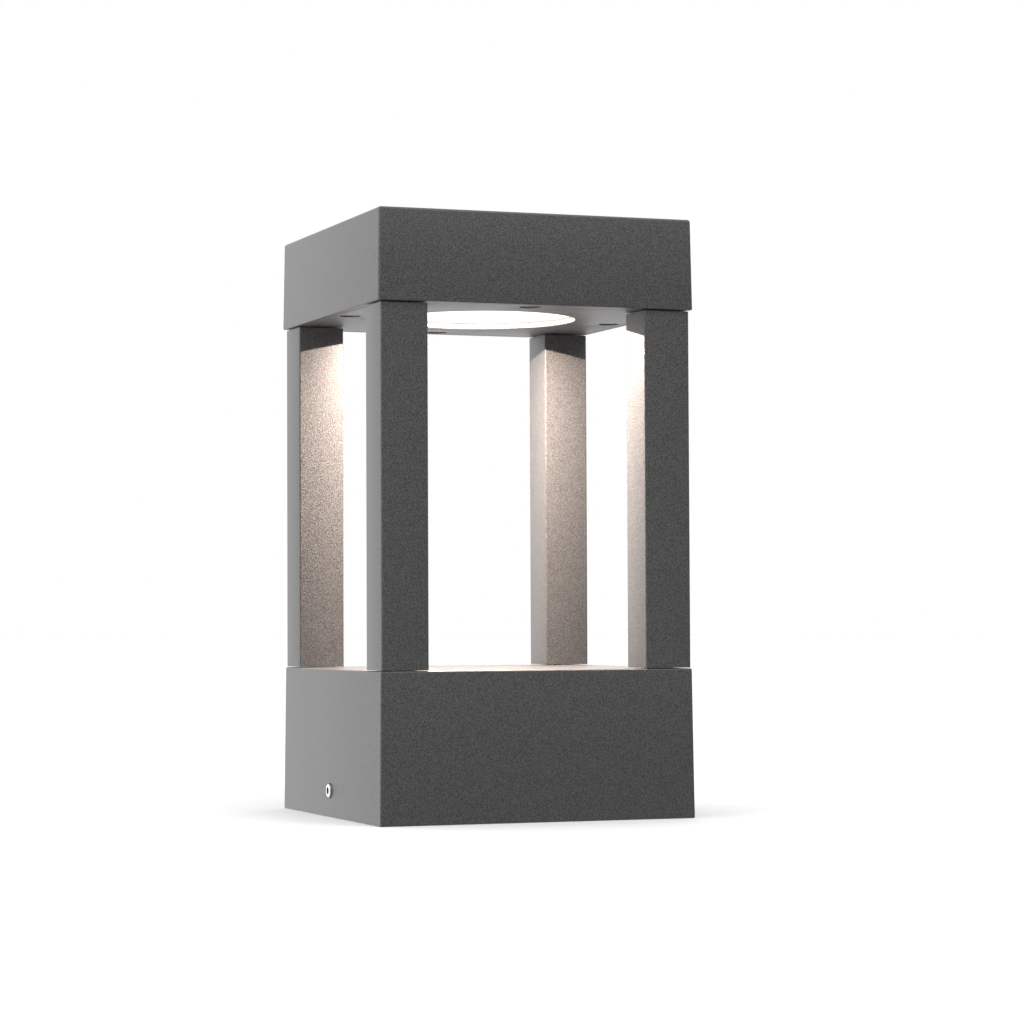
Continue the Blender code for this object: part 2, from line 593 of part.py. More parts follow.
def underside_plate():
    """The plate that closes the head from below, with the light opening and its screws."""
    plate = tapered_box("underside_plate", (PLATE_HALF,) * 2, (PLATE_HALF,) * 2, RIM_Z, PLATE_TOP, COAT,
                        PLATE_EDGE)
    window_seat = RIM_Z + WINDOW_REVEAL
    boss_top = CLAMP_Z - GAP
    cut(plate,
        cylinders("light_opening", [(0, 0)], OPENING_RADIUS, RIM_Z - MM, PLATE_TOP + MM, COAT, FINE),
        cylinders("window_seat", [(0, 0)], WINDOW_RADIUS + GAP, window_seat, PLATE_TOP + MM, COAT, FINE),
        cylinders("rod_holes_plate", at_corners(POST_AT), M4 + GAP, RIM_Z - MM, PLATE_TOP + MM, COAT),
        cylinders("lead_hole_plate", [(LEAD_HOLE_AT,) * 2], LEAD_HOLE_RADIUS, RIM_Z - MM, PLATE_TOP + MM, COAT))
    for side, (x, y) in SIDES.items():
        sink = turned(f"countersink_{side}", countersink_profile(HEAD_SCREW_RADIUS, HEAD_SCREW_SUNK, RIM_Z),
                      COAT, 16, at=(x * HEAD_SCREW_AT, y * HEAD_SCREW_AT, 0))
        cut(plate, sink)
    places = clamp_screw_places()
    join(plate, cylinders("clamp_bosses", places, CLAMP_BOSS, PLATE_TOP - MM, boss_top, COAT))
    return cut(plate, cylinders("clamp_screw_holes", places, M25 + GAP, PLATE_TOP + 0.5 * MM, boss_top + MM,
                                COAT))


def head_screws():
    """Countersunk stainless screws, one a side, sitting just below the plate's face."""
    for side, (x, y) in SIDES.items():
        face = RIM_Z + HEAD_SCREW_SUNK
        cone = HEAD_SCREW_RADIUS - M4
        at = (x * HEAD_SCREW_AT, y * HEAD_SCREW_AT, face)
        chamfer = 0.2 * MM
        profile = [(0, HEAD_SCREW_LENGTH), (M4, HEAD_SCREW_LENGTH), (M4, cone), (HEAD_SCREW_RADIUS, chamfer),
                   (HEAD_SCREW_RADIUS - chamfer, 0), (0, 0)]
        screw = turned(f"head_screw_{side}", profile, STAINLESS, 16, at=at)
        socket = cylinders(f"head_screw_socket_{side}", [(0, 0)], KEY_RADIUS, -MM, 1.4 * MM, STAINLESS, 6)
        socket.location = at
        cut(screw, socket)


def window():
    """The opal window, clamped down on the plate through a flat seal."""
    disc("opal_window", WINDOW_RADIUS, WINDOW_Z, WINDOW_THICK, OPAL)
    flat_ring("window_seal", OPENING_RADIUS - SEAL_INSET, WINDOW_RADIUS - SEAL_INSET, SEAL_Z, SEAL_THICK,
              RUBBER)
    ring = flat_ring("clamp_ring", OPENING_RADIUS - CLAMP_INSET, CLAMP_RADIUS, CLAMP_Z, CLAMP_THICK, ALUMINIUM)
    places = clamp_screw_places()
    cut(ring, cylinders("clamp_ring_holes", places, M25 + GAP, CLAMP_Z - MM,
                        CLAMP_Z + CLAMP_THICK + MM, ALUMINIUM))
    for number, (x, y) in enumerate(places, 1):
        pan_screw(f"clamp_screw_{number}", M25, 5 * MM, STAINLESS, (x, y, CLAMP_Z + CLAMP_THICK + GAP),
                  up=False)


def light_engine():
    """Reflector, emitter, board and thermal pad, stacked under the head's cooling boss."""
    wall, flange, lip = 1.2 * MM, 36 * MM, 1 * MM
    mouth, neck = 32 * MM, EMITTER_RADIUS + 1.5 * MM
    top = BOARD_Z - GAP
    profile = [(neck + wall, top), (mouth + wall, REFLECTOR_Z + lip), (flange, REFLECTOR_Z + lip),
               (flange, REFLECTOR_Z), (mouth, REFLECTOR_Z), (neck, top)]
    turned("reflector", profile, WHITE, 32, closed=True)
    disc("led_emitter", EMITTER_RADIUS, BOARD_Z - GAP - EMITTER_THICK, EMITTER_THICK, PHOSPHOR, 24)
    screws = [(-LED_SCREW_AT, 0), (LED_SCREW_AT, 0)]
    for name, low, thick, material in (("led_board", BOARD_Z, BOARD_THICK, BOARD),
                                       ("thermal_pad", THERMAL_Z, THERMAL_THICK, THERMAL)):
        layer = disc(name, BOARD_RADIUS, low, thick, material, 32)
        cut(layer, cylinders(name + "_holes", screws, M25 + GAP, low - MM, low + thick + MM, material))
    for number, (x, y) in enumerate(screws, 1):
        pan_screw(f"led_screw_{number}", M25, 6.4 * MM, STAINLESS, (x, y, BOARD_Z - GAP))


def head_gasket():
    """The cord gasket between the plate and the head's ledge."""
    square_ring("head_gasket", PLATE_HALF, PLATE_HALF - GASKET_WIDTH, PLATE_TOP + GAP, GASKET_THICK, RUBBER)


def led_leads():
    """Two leads from the board over the reflector, down the back right post and to the driver."""
    spread = 0.9 * MM
    under_board = BOARD_Z - GAP - LEAD_RADIUS
    driver_back = DRIVER_AT[1] + DRIVER_SIZE[1] / 2 + GAP
    third = (RIM_Z - BASE_HEIGHT) / 3
    heights = (RIM_Z + 11 * MM, RIM_Z + 2 * MM, RIM_Z - third, BASE_HEIGHT + third, BASE_HEIGHT + 2 * MM,
               BASE_HEIGHT - 5 * MM)
    for name, sign, material in (("led_lead_positive", -1, RED), ("led_lead_negative", 1, BLACK)):
        inner = [(along + sign * spread, along - sign * spread, under_board - dip)
                 for along, dip in ((LED_PAD_AT, 0), (25 * MM, 0), (38 * MM, 2 * MM))]
        x, y = LEAD_HOLE_AT + sign * spread, LEAD_HOLE_AT - sign * spread
        end_x = (38.5 + sign * 1.5) * MM
        lower = [(x + MM, 38 * MM, LEAD_LEVEL + MM), ((44 + sign) * MM, 22 * MM, LEAD_LEVEL - 2 * MM),
                 (end_x, 7 * MM, LEAD_LEVEL - 2 * MM), (end_x, driver_back, LEAD_LEVEL - 2 * MM)]
        wire(name, inner + [(x, y, z) for z in heights] + lower, material)


mounting_bracket()
base_shell()
base_cover()
cable_gland()
set_screws()
driver_chamber()
chamber_wiring()
posts()
head_shell()
head_gasket()
underside_plate()
head_screws()
window()
light_engine()
led_leads()
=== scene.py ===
"""The looks of the square lantern bollard light: its camera, studio, finer meshes and materials.

Metres, +Z up, front face towards -Y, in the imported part's own frame. Sizes and places come from
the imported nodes' boxes. What the boxes don't tell, such as edge radii and walls, is named here."""

import json
import math

import bmesh
import bpy
from mathutils import Matrix, Vector


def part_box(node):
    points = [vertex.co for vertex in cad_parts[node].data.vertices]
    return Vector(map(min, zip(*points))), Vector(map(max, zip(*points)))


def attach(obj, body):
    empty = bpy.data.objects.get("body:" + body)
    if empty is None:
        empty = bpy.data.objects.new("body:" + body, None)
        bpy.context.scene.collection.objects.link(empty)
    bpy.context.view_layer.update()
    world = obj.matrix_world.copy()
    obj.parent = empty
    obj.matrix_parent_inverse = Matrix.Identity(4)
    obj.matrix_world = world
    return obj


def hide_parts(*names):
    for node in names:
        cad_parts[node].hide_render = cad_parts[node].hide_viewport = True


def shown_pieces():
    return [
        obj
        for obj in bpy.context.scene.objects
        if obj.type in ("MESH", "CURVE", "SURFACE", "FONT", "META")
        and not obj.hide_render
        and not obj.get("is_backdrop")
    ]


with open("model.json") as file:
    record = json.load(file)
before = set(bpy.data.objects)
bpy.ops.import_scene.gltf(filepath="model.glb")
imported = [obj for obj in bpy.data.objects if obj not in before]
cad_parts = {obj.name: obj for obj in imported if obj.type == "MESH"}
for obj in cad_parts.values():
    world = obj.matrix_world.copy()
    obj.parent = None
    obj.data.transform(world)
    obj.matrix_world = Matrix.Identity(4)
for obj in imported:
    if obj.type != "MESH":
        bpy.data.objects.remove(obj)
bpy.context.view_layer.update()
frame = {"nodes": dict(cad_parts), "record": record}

MM = 0.001
X, Y, Z = 0, 1, 2
SCENE = bpy.context.scene

# Camera: where it stands, which way it looks, and its lens
CAMERA_PLACE = (-388.6 * MM, -1074.5 * MM, 72.2 * MM)
CAMERA_HEADING, CAMERA_PITCH, CAMERA_ROLL = 20.44, 2.0, -0.24     # degrees
LENS_MM, SENSOR_MM = 107.47, 36

# Light. SKY's keys are an axis and a sign, and its values the sky's strength from that side
SKY = {(X, 1): 0.5, (X, -1): 2.4, (Y, 1): 2.5, (Y, -1): 0.3, (Z, 1): 1.5, (Z, -1): 0.85}
SOFTBOX_TURN, SOFTBOX_RISE = 20, 50            # degrees from the front to the right, and up
SOFTBOX_AWAY, SOFTBOX_SIZE, SOFTBOX_WATTS = 1.6, 1.2, 11.7
LED_COLOR = (1.0, 0.82, 0.71)
LED_WATTS, LED_SPREAD = 1.5, 171               # spread in degrees
LED_HEIGHT, LED_SIZE = 9.6 * MM, 2.6 * MM      # over the plate's lower face, and across

# Studio
FLOOR_RADIUS, FLOOR_DROP = 12, 0.05 * MM
FLOOR_WHITE, BACKDROP_GLOW = 0.86, 1.0

# Powder coat: its darkest and lightest specks, and the sizes of its grain
COAT_DARK, COAT_LIGHT = (0.031, 0.0303, 0.0303), (0.101, 0.0995, 0.0985)
COAT_SPECK, COAT_PEBBLE, COAT_RELIEF = 0.42 * MM, 0.6 * MM, 0.1 * MM
COAT_CONTRAST, COAT_ROUGHNESS = (0.36, 0.64), (0.42, 0.56)
COAT_TURN = (0.5, 0.35, 0.8)                   # keeps the grain from lining up with flat faces

# Opal window. GLOW_FADE is where its glow starts and stops fading, from its centre
OPAL_DARK, OPAL_LIGHT, OPAL_SPECK = (0.90, 0.87, 0.82), (0.94, 0.92, 0.88), 1.2 * MM
GLOW_MIDDLE, GLOW_RIM, GLOW_STRENGTH = (1.0, 0.99, 0.97), (0.42, 0.34, 0.27), 0.8
GLOW_FADE = (28 * MM, 35.5 * MM)

# Marks in a surface: how much of its colour they keep, and how deep they are
METAL_DULL, PLASTIC_DULL = 0.82, 0.88
MARK_DEPTH, SKIN_DEPTH = 0.01 * MM, 0.02 * MM
NOISE_SPAN = (0.3, 0.7)                        # most of a noise's values lie between these

# Finishing details: edge radii, and how much each side draws in towards the top
HEAD_EDGE, BASE_EDGE, RIM_EDGE = 1.0 * MM, 0.6 * MM, 0.4 * MM
POST_EDGE, PLATE_EDGE, WINDOW_EDGE = 0.6 * MM, 0.2 * MM, 0.3 * MM
OPENING_EDGE, RECESS_EDGE = 0.25 * MM, 0.15 * MM
HEAD_SCREW_EDGE, SET_SCREW_EDGE = 0.3 * MM, 0.45 * MM
HEAD_DRAFT, BASE_DRAFT = 0.5 * MM, 0.6 * MM

# Walls and openings
HEAD_WALL, BASE_WALL, POST_WALL, PLATE_THICK = 3 * MM, 3 * MM, 2 * MM, 3 * MM
OPENING, WINDOW_SEAT = 35 * MM, 39.6 * MM      # radii
GAP = 0.3 * MM

# Screws. SCREW_TURN is how each one happens to be turned, in radians
SCREW_SHANK, SCREW_LAND = 2 * MM, 0.35 * MM    # a countersunk one's radius, and its rim's height
SCREW_RECESS, SCREW_SUNK = 4 * MM, 0.45 * MM   # its recess's radius, and its depth in the plate
SET_SCREW_HOLE, SOCKET_RADIUS = 2.8 * MM, 1.44 * MM
HEAD_SOCKET, SET_SOCKET = 1.4 * MM, 2.2 * MM   # depths of the hexagon sockets
SCREW_TURN = {"front": 0.3, "back": 1.1, "left": 0.7, "right": 0.1}

# Meshing
ROUND, FINE_ROUND, ARC_STEPS = 48, 96, 4       # facets round a circle, and along a small arc
HEXAGON = 6
EDGE_STEPS, POST_EDGE_STEPS, RIM_STEPS = 6, 4, 3
SMOOTH_ANGLE = 32                              # degrees
PAST = 1 * MM                                  # how far a cutting tool passes the face it cuts
SAME = 0.001 * MM                              # points closer than this are one

SIDES = ("front", "back", "left", "right")
CORNERS = ("front_left", "front_right", "back_left", "back_right")


# ---------------------------------------------------------------- camera, floor and light

def add_camera():
    SCENE.view_settings.view_transform = "Standard"
    data = bpy.data.cameras.new("camera")
    data.lens = LENS_MM
    data.sensor_width = SENSOR_MM
    data.clip_start = 10 * MM
    camera = bpy.data.objects.new("camera", data)
    SCENE.collection.objects.link(camera)
    heading, pitch, roll = (math.radians(a) for a in (CAMERA_HEADING, CAMERA_PITCH, CAMERA_ROLL))
    turn = Matrix.Rotation(-heading, 4, "Z") @ Matrix.Rotation(math.pi / 2 + pitch, 4, "X")
    camera.matrix_world = Matrix.Translation(CAMERA_PLACE) @ turn @ Matrix.Rotation(roll, 4, "Z")
    SCENE.camera = camera


def add_world():
    """Soft light from all round. Each of SKY's six strengths fills the directions near its own axis:
    it is weighed by the square of the direction's part along that axis."""
    world = bpy.data.worlds.new("studio")
    SCENE.world = world
    world.use_nodes = True
    tree = world.node_tree
    tree.nodes.clear()
    direction = tree.nodes.new("ShaderNodeTexCoord").outputs["Generated"]
    split = tree.nodes.new("ShaderNodeSeparateXYZ")
    tree.links.new(direction, split.inputs[0])

    def apply(operation, a, b):
        node = tree.nodes.new("ShaderNodeMath")
        node.operation = operation
        for socket, value in zip(node.inputs, (a, b)):
            if isinstance(value, bpy.types.NodeSocket):
                tree.links.new(value, socket)
            else:
                socket.default_value = value
        return node.outputs[0]

    total = 0.0
    for (axis, sign), strength in SKY.items():
        facing = apply("MAXIMUM", apply("MULTIPLY", split.outputs[axis], sign), 0.0)
        lobe = apply("MULTIPLY", apply("POWER", facing, 2.0), strength)
        total = apply("ADD", total, lobe)
    background = tree.nodes.new("ShaderNodeBackground")
    tree.links.new(total, background.inputs["Strength"])
    output = tree.nodes.new("ShaderNodeOutputWorld")
    tree.links.new(background.outputs[0], output.inputs["Surface"])


def add_stage(obj, name, white, glow):
    """Gives a piece of the studio a plain white surface, and keeps it from lighting, shading or
    showing in the object. The sky stands for its bounce."""
    material = bpy.data.materials.new(name)
    material.use_nodes = True
    shader = material.node_tree.nodes["Principled BSDF"]
    shader.inputs["Base Color"].default_value = (white, white, white, 1)
    shader.inputs["Roughness"].default_value = 1.0
    shader.inputs["Specular IOR Level"].default_value = 0.0
    shader.inputs["Emission Color"].default_value = (1, 1, 1, 1)
    shader.inputs["Emission Strength"].default_value = glow
    obj.data.materials.append(material)
    obj.visible_diffuse = False
    obj.visible_glossy = False
    obj.visible_shadow = False
    obj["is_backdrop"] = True


def add_floor():
    """A wide pale floor, a hair below the base so that the two don't meet."""
    bm = bmesh.new()
    bmesh.ops.create_circle(bm, cap_ends=True, segments=64, radius=FLOOR_RADIUS)
    floor = new_mesh("floor", bm)
    floor.location.z = -FLOOR_DROP
    add_stage(floor, "pale_floor", FLOOR_WHITE, 0.0)


def add_backdrop():
    """A white wall round the floor's edge, as bright as a plain studio's, sunk slightly below it."""
    bm = bmesh.new()
    bmesh.ops.create_cone(bm, segments=64, radius1=FLOOR_RADIUS, radius2=FLOOR_RADIUS,
                          depth=FLOOR_RADIUS)
    wall = new_mesh("backdrop", bm)
    wall.location.z = FLOOR_RADIUS / 2 - PAST
    add_stage(wall, "white_backdrop", 0.0, BACKDROP_GLOW)


def area_light(name, shape, size, watts, color=(1, 1, 1)):
    data = bpy.data.lights.new(name, "AREA")
    data.shape = shape
    data.size = size
    data.energy = watts
    data.color = color
    light = bpy.data.objects.new(name, data)
    SCENE.collection.objects.link(light)
    return light


def add_softbox():
    """A weak softbox, high in front and to the right, that faces the light's middle."""
    middle = Vector((0, 0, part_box("head_shell")[1].z / 2))
    turn, rise = math.radians(SOFTBOX_TURN), math.radians(SOFTBOX_RISE)
    level = math.cos(rise)
    out = Vector((math.sin(turn) * level, -math.cos(turn) * level, math.sin(rise)))
    softbox = area_light("softbox", "SQUARE", SOFTBOX_SIZE, SOFTBOX_WATTS)
    softbox.location = middle + out * SOFTBOX_AWAY
    softbox.rotation_euler = out.to_track_quat("Z", "Y").to_euler()


def add_led():
    """The emitter's light, which the plate's opening cuts off in straight lines across the posts.
    It rides with the head, and doesn't light the studio."""
    emitter = area_light("led_glow", "DISK", LED_SIZE, LED_WATTS, LED_COLOR)
    emitter.data.spread = math.radians(LED_SPREAD)
    emitter.location = (0, 0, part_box("underside_plate")[0].z + LED_HEIGHT)
    lit = bpy.data.collections.new("lit_by_led")
    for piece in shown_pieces():
        lit.objects.link(piece)
    emitter.light_linking.receiver_collection = lit
    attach(emitter, "luminaire")


# ---------------------------------------------------------------- materials

class Graph:
    """Builds a material's nodes around its Principled BSDF."""

    def __init__(self, name):
        self.material = bpy.data.materials.new(name)
        self.material.use_nodes = True
        self.tree = self.material.node_tree
        self.shader = self.tree.nodes["Principled BSDF"]
        self.place = self.node("ShaderNodeTexCoord").outputs["Object"]

    def node(self, kind, settings=None, **inputs):
        node = self.tree.nodes.new(kind)
        for key, value in (settings or {}).items():
            setattr(node, key, value)
        for key, value in inputs.items():
            self.feed(node.inputs[key.replace("_", " ")], value)
        return node

    def feed(self, socket, value):
        if isinstance(value, bpy.types.NodeSocket):
            self.tree.links.new(value, socket)
        else:
            socket.default_value = value

    def set(self, **inputs):
        for key, value in inputs.items():
            self.feed(self.shader.inputs[key.replace("_", " ")], value)
        return self

    def noise(self, size, detail, rough=0.5, vector=None):
        """Noise whose blobs measure about size metres."""
        node = self.node("ShaderNodeTexNoise", Vector=vector or self.place, Scale=1 / size,
                         Detail=detail, Roughness=rough)
        return node.outputs["Fac"]

    def cells(self, size):
        """Distance to the middle of softly joined cells about size metres across."""
        node = self.node("ShaderNodeTexVoronoi", {"feature": "SMOOTH_F1"}, Vector=self.place,
                         Scale=1 / size, Smoothness=1.0)
        return node.outputs["Distance"]

    def ramp(self, value, span, onto=(0, 1)):
        """Maps one span of values onto another, and holds its ends."""
        node = self.node("ShaderNodeMapRange", Value=value, From_Min=span[0], From_Max=span[1],
                         To_Min=onto[0], To_Max=onto[1])
        return node.outputs[0]

    def blend(self, factor, a, b):
        """Goes from colour a to colour b as the factor goes from 0 to 1."""
        node = self.node("ShaderNodeMix", {"data_type": "RGBA"})
        self.feed(node.inputs[0], factor)
        self.feed(node.inputs[6], (*a, 1))
        self.feed(node.inputs[7], (*b, 1))
        return node.outputs[2]

    def math(self, operation, a, b):
        node = self.node("ShaderNodeMath", {"operation": operation})
        self.feed(node.inputs[0], a)
        self.feed(node.inputs[1], b)
        return node.outputs[0]

    def bump(self, height, distance, strength):
        node = self.node("ShaderNodeBump", Height=height, Distance=distance, Strength=strength)
        return node.outputs["Normal"]


def powder_coat():
    """Anthracite powder coat with a fine leathery grain of lighter and darker specks."""
    g = Graph("powder_coat")
    turned = g.node("ShaderNodeMapping", Vector=g.place, Rotation=COAT_TURN)
    g.place = turned.outputs[0]
    grain = g.noise(COAT_SPECK, detail=1.5, rough=0.6)
    shade = g.ramp(grain, COAT_CONTRAST)
    height = g.math("ADD", g.math("MULTIPLY", g.cells(COAT_PEBBLE), -0.5), grain)
    g.set(Base_Color=g.blend(shade, COAT_DARK, COAT_LIGHT),
          Roughness=g.ramp(grain, NOISE_SPAN, COAT_ROUGHNESS),
          Normal=g.bump(height, COAT_RELIEF, strength=0.8))
    return g.material


def opal_glow():
    """Satin opal acrylic, glowing evenly from the emitter behind it and less near its rim."""
    g = Graph("opal")
    flat = g.node("ShaderNodeVectorMath", {"operation": "MULTIPLY"})
    g.feed(flat.inputs[0], g.place)
    g.feed(flat.inputs[1], (1, 1, 0))
    spread = g.node("ShaderNodeVectorMath", {"operation": "LENGTH"})
    g.feed(spread.inputs[0], flat.outputs[0])
    edge = g.ramp(spread.outputs["Value"], GLOW_FADE)
    speck = g.noise(OPAL_SPECK, detail=2)
    g.set(Base_Color=g.blend(speck, OPAL_DARK, OPAL_LIGHT), Roughness=0.45,
          Emission_Color=g.blend(edge, GLOW_MIDDLE, GLOW_RIM), Emission_Strength=GLOW_STRENGTH,
          Normal=g.bump(speck, MARK_DEPTH, strength=0.3))
    return g.material


def metal(name, color, roughness, grain=0.35 * MM, spread=0.10, streak=1.0):
    """Plain metal with fine marks. spread is how far its roughness ranges, and streak stretches
    the marks along X."""
    g = Graph(name)
    scale = g.node("ShaderNodeMapping", Vector=g.place, Scale=(1 / streak, 1, 1))
    marks = g.noise(grain, detail=4, rough=0.6, vector=scale.outputs[0])
    dull = tuple(c * METAL_DULL for c in color)
    g.set(Base_Color=g.blend(marks, dull, color), Metallic=1.0,
          Roughness=g.ramp(marks, NOISE_SPAN, (roughness - spread / 2, roughness + spread / 2)),
          Normal=g.bump(marks, MARK_DEPTH, strength=0.4))
    return g.material


def plastic(name, color, roughness, grain=0.6 * MM, spread=0.12, depth=SKIN_DEPTH):
    """Moulded plastic, rubber or wire insulation with a faint skin texture."""
    g = Graph(name)
    skin = g.noise(grain, detail=3, rough=0.55)
    dull = tuple(c * PLASTIC_DULL for c in color)
    g.set(Base_Color=g.blend(skin, dull, color),
          Roughness=g.ramp(skin, NOISE_SPAN, (roughness - spread / 2, roughness + spread / 2)),
          Normal=g.bump(skin, depth, strength=0.5))
    return g.material


METALS = {
    "zinc_steel": dict(color=(0.60, 0.61, 0.62), roughness=0.38, grain=3 * MM, spread=0.16),
    "stainless": dict(color=(0.58, 0.57, 0.555), roughness=0.22, grain=0.25 * MM, streak=6),
    "brass": dict(color=(0.72, 0.58, 0.33), roughness=0.32),
    "aluminium": dict(color=(0.74, 0.74, 0.75), roughness=0.36, grain=0.3 * MM, streak=8),
}
PLASTICS = {
    "rubber": dict(color=(0.022, 0.022, 0.022), roughness=0.8),
    "reflector_white": dict(color=(0.90, 0.90, 0.88), roughness=0.3),
    "phosphor": dict(color=(0.92, 0.66, 0.12), roughness=0.45),
    "board_white": dict(color=(0.86, 0.86, 0.83), roughness=0.4),
    "thermal_silicone": dict(color=(0.42, 0.45, 0.48), roughness=0.75),
    "driver_case": dict(color=(0.78, 0.78, 0.76), roughness=0.5, grain=0.8 * MM, depth=0.05 * MM),
    "nylon": dict(color=(0.30, 0.31, 0.32), roughness=0.5),
    "insulation_red": dict(color=(0.55, 0.03, 0.02), roughness=0.4),
    "insulation_black": dict(color=(0.02, 0.02, 0.02), roughness=0.4),
    "insulation_brown": dict(color=(0.16, 0.06, 0.02), roughness=0.4),
    "insulation_blue": dict(color=(0.02, 0.07, 0.42), roughness=0.4),
    "insulation_green": dict(color=(0.16, 0.42, 0.04), roughness=0.4),
}
MATERIALS = {"powder_coat": powder_coat(), "opal": opal_glow()}
MATERIALS.update({name: metal(name, **look) for name, look in METALS.items()})
MATERIALS.update({name: plastic(name, **look) for name, look in PLASTICS.items()})


# ---------------------------------------------------------------- mesh helpers

def new_mesh(name, bm):
    """Turns a bmesh into an object in the scene."""
    mesh = bpy.data.meshes.new(name)
    bm.to_mesh(mesh)
    bm.free()
    obj = bpy.data.objects.new(name, mesh)
    SCENE.collection.objects.link(obj)
    return obj


def rounded_box(name, low, high, draft=0.0, edge=0.0, rim=0.0, steps=EDGE_STEPS, uprights_only=False):
    """A box from corner low to corner high. draft narrows its top, edge rounds its uprights and
    its top edges, and rim its bottom ones."""
    bm = bmesh.new()
    bmesh.ops.create_cube(bm, size=1)
    size, middle = high - low, (high + low) / 2
    for vert in bm.verts:
        top = vert.co.z > 0
        shrink = 2 * draft if top else 0
        x = middle.x + vert.co.x * (size.x - shrink)
        y = middle.y + vert.co.y * (size.y - shrink)
        vert.co = Vector((x, y, high.z if top else low.z))
    if edge:
        def wanted(e):
            bottom, top = sorted(v.co.z for v in e.verts)
            return top - bottom > size.z / 2 or (not uprights_only and bottom > middle.z)
        round_edges(bm, [e for e in bm.edges if wanted(e)], edge, steps)
    if rim:
        flat = [e for e in bm.edges if max(v.co.z for v in e.verts) < low.z + 10 * SAME]
        round_edges(bm, flat, rim, RIM_STEPS)
    return new_mesh(name, bm)


def round_edges(bm, edges, radius, steps):
    bmesh.ops.bevel(bm, geom=edges, offset=radius, segments=steps, profile=0.5, affect="EDGES")


def rod(name, radius, low, high, segments=ROUND):
    """A solid rod about Z between two heights."""
    bm = bmesh.new()
    bmesh.ops.create_cone(bm, cap_ends=True, segments=segments, radius1=radius, radius2=radius,
                          depth=high - low, matrix=Matrix.Translation((0, 0, (low + high) / 2)))
    return new_mesh(name, bm)


def lathe(name, profile, segments=ROUND):
    """A solid turned about Z from (radius, height) points that start and end on the axis."""
    bm = bmesh.new()
    points = [bm.verts.new((r, 0, z)) for r, z in profile]
    outline = [bm.edges.new(pair) for pair in zip(points, points[1:])]
    bmesh.ops.spin(bm, geom=points + outline, cent=(0, 0, 0), axis=(0, 0, 1), angle=2 * math.pi,
                   steps=segments, use_merge=True)
    bmesh.ops.remove_doubles(bm, verts=bm.verts, dist=SAME)
    bmesh.ops.recalc_face_normals(bm, faces=bm.faces)
    return new_mesh(name, bm)


def arc(x, y, radius, start, end):
    """Points round an arc centred on (x, y), with angles in degrees."""
    angles = [math.radians(start + (end - start) * i / ARC_STEPS) for i in range(ARC_STEPS + 1)]
    return [(x + radius * math.cos(a), y + radius * math.sin(a)) for a in angles]


def moved(obj, x, y, z):
    obj.location = (x, y, z)
    return obj


def cut(target, *tools):
    """Cuts the tools out of the target, makes the result its mesh and drops the tools."""
    for tool in tools:
        modifier = target.modifiers.new(tool.name, "BOOLEAN")
        modifier.operation = "DIFFERENCE"
        modifier.solver = "EXACT"
        modifier.object = tool
    bpy.context.view_layer.update()
    result = target.evaluated_get(bpy.context.evaluated_depsgraph_get())
    target.data = bpy.data.meshes.new_from_object(result)
    target.modifiers.clear()
    for tool in tools:
        bpy.data.objects.remove(tool)


def dress(obj, slot, body, node):
    """Shades a piece, gives it its material, and makes it ride on body in place of the node."""
    mesh = obj.data
    mesh.materials.append(MATERIALS[slot])
    mesh.shade_smooth()
    mesh.set_sharp_from_angle(angle=math.radians(SMOOTH_ANGLE))
    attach(obj, body)
    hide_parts(node)


# ---------------------------------------------------------------- the light's pieces

def head_shell():
    """The cast head, open below, where the underside plate lies inside its rim."""
    low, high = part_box("head_shell")
    plate_low, plate_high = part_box("underside_plate")
    shell = rounded_box("head_casting", low, high, HEAD_DRAFT, HEAD_EDGE, RIM_EDGE)
    seat = Vector((GAP, GAP, 0))
    cavity = rounded_box("head_cavity", Vector((*(plate_low - seat).xy, low.z - PAST)),
                         Vector((*(plate_high + seat).xy, high.z - HEAD_WALL)))
    cut(shell, cavity)
    dress(shell, "powder_coat", "luminaire", "head_shell")


def light_opening(plate_low, plate_top):
    """The tool that cuts the plate's round opening and the wider seat for the window above it."""
    edge = OPENING + OPENING_EDGE
    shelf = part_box("opal_window")[0].z - GAP
    profile = [(0, plate_low - PAST), (edge, plate_low - PAST),
               *arc(edge, plate_low + OPENING_EDGE, OPENING_EDGE, -90, -180),
               (OPENING, shelf), (WINDOW_SEAT, shelf), (WINDOW_SEAT, plate_top + PAST),
               (0, plate_top + PAST)]
    return lathe("light_opening", profile, FINE_ROUND)


def screw_recess(side, plate_low):
    """The tool that cuts one screw's countersink and clearance hole."""
    edge = SCREW_RECESS + RECESS_EDGE
    seat = SCREW_SUNK + GAP
    profile = [(0, -PAST), (edge, -PAST), *arc(edge, RECESS_EDGE, RECESS_EDGE, -90, -180),
               (SCREW_RECESS, seat), (SCREW_SHANK, seat + SCREW_RECESS - SCREW_SHANK),
               (SCREW_SHANK, PLATE_THICK + PAST), (0, PLATE_THICK + PAST)]
    low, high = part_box(f"head_screw_{side}")
    at = (low + high) / 2
    return moved(lathe(f"screw_recess_{side}", profile), at.x, at.y, plate_low)


def underside_plate():
    """The plate under the head: a round light opening and a countersunk screw on each side."""
    low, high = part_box("underside_plate")
    top = low.z + PLATE_THICK
    plate = rounded_box("head_plate", low, Vector((*high.xy, top)), rim=PLATE_EDGE)
    cut(plate, light_opening(low.z, top), *(screw_recess(side, low.z) for side in SIDES))
    dress(plate, "powder_coat", "luminaire", "underside_plate")


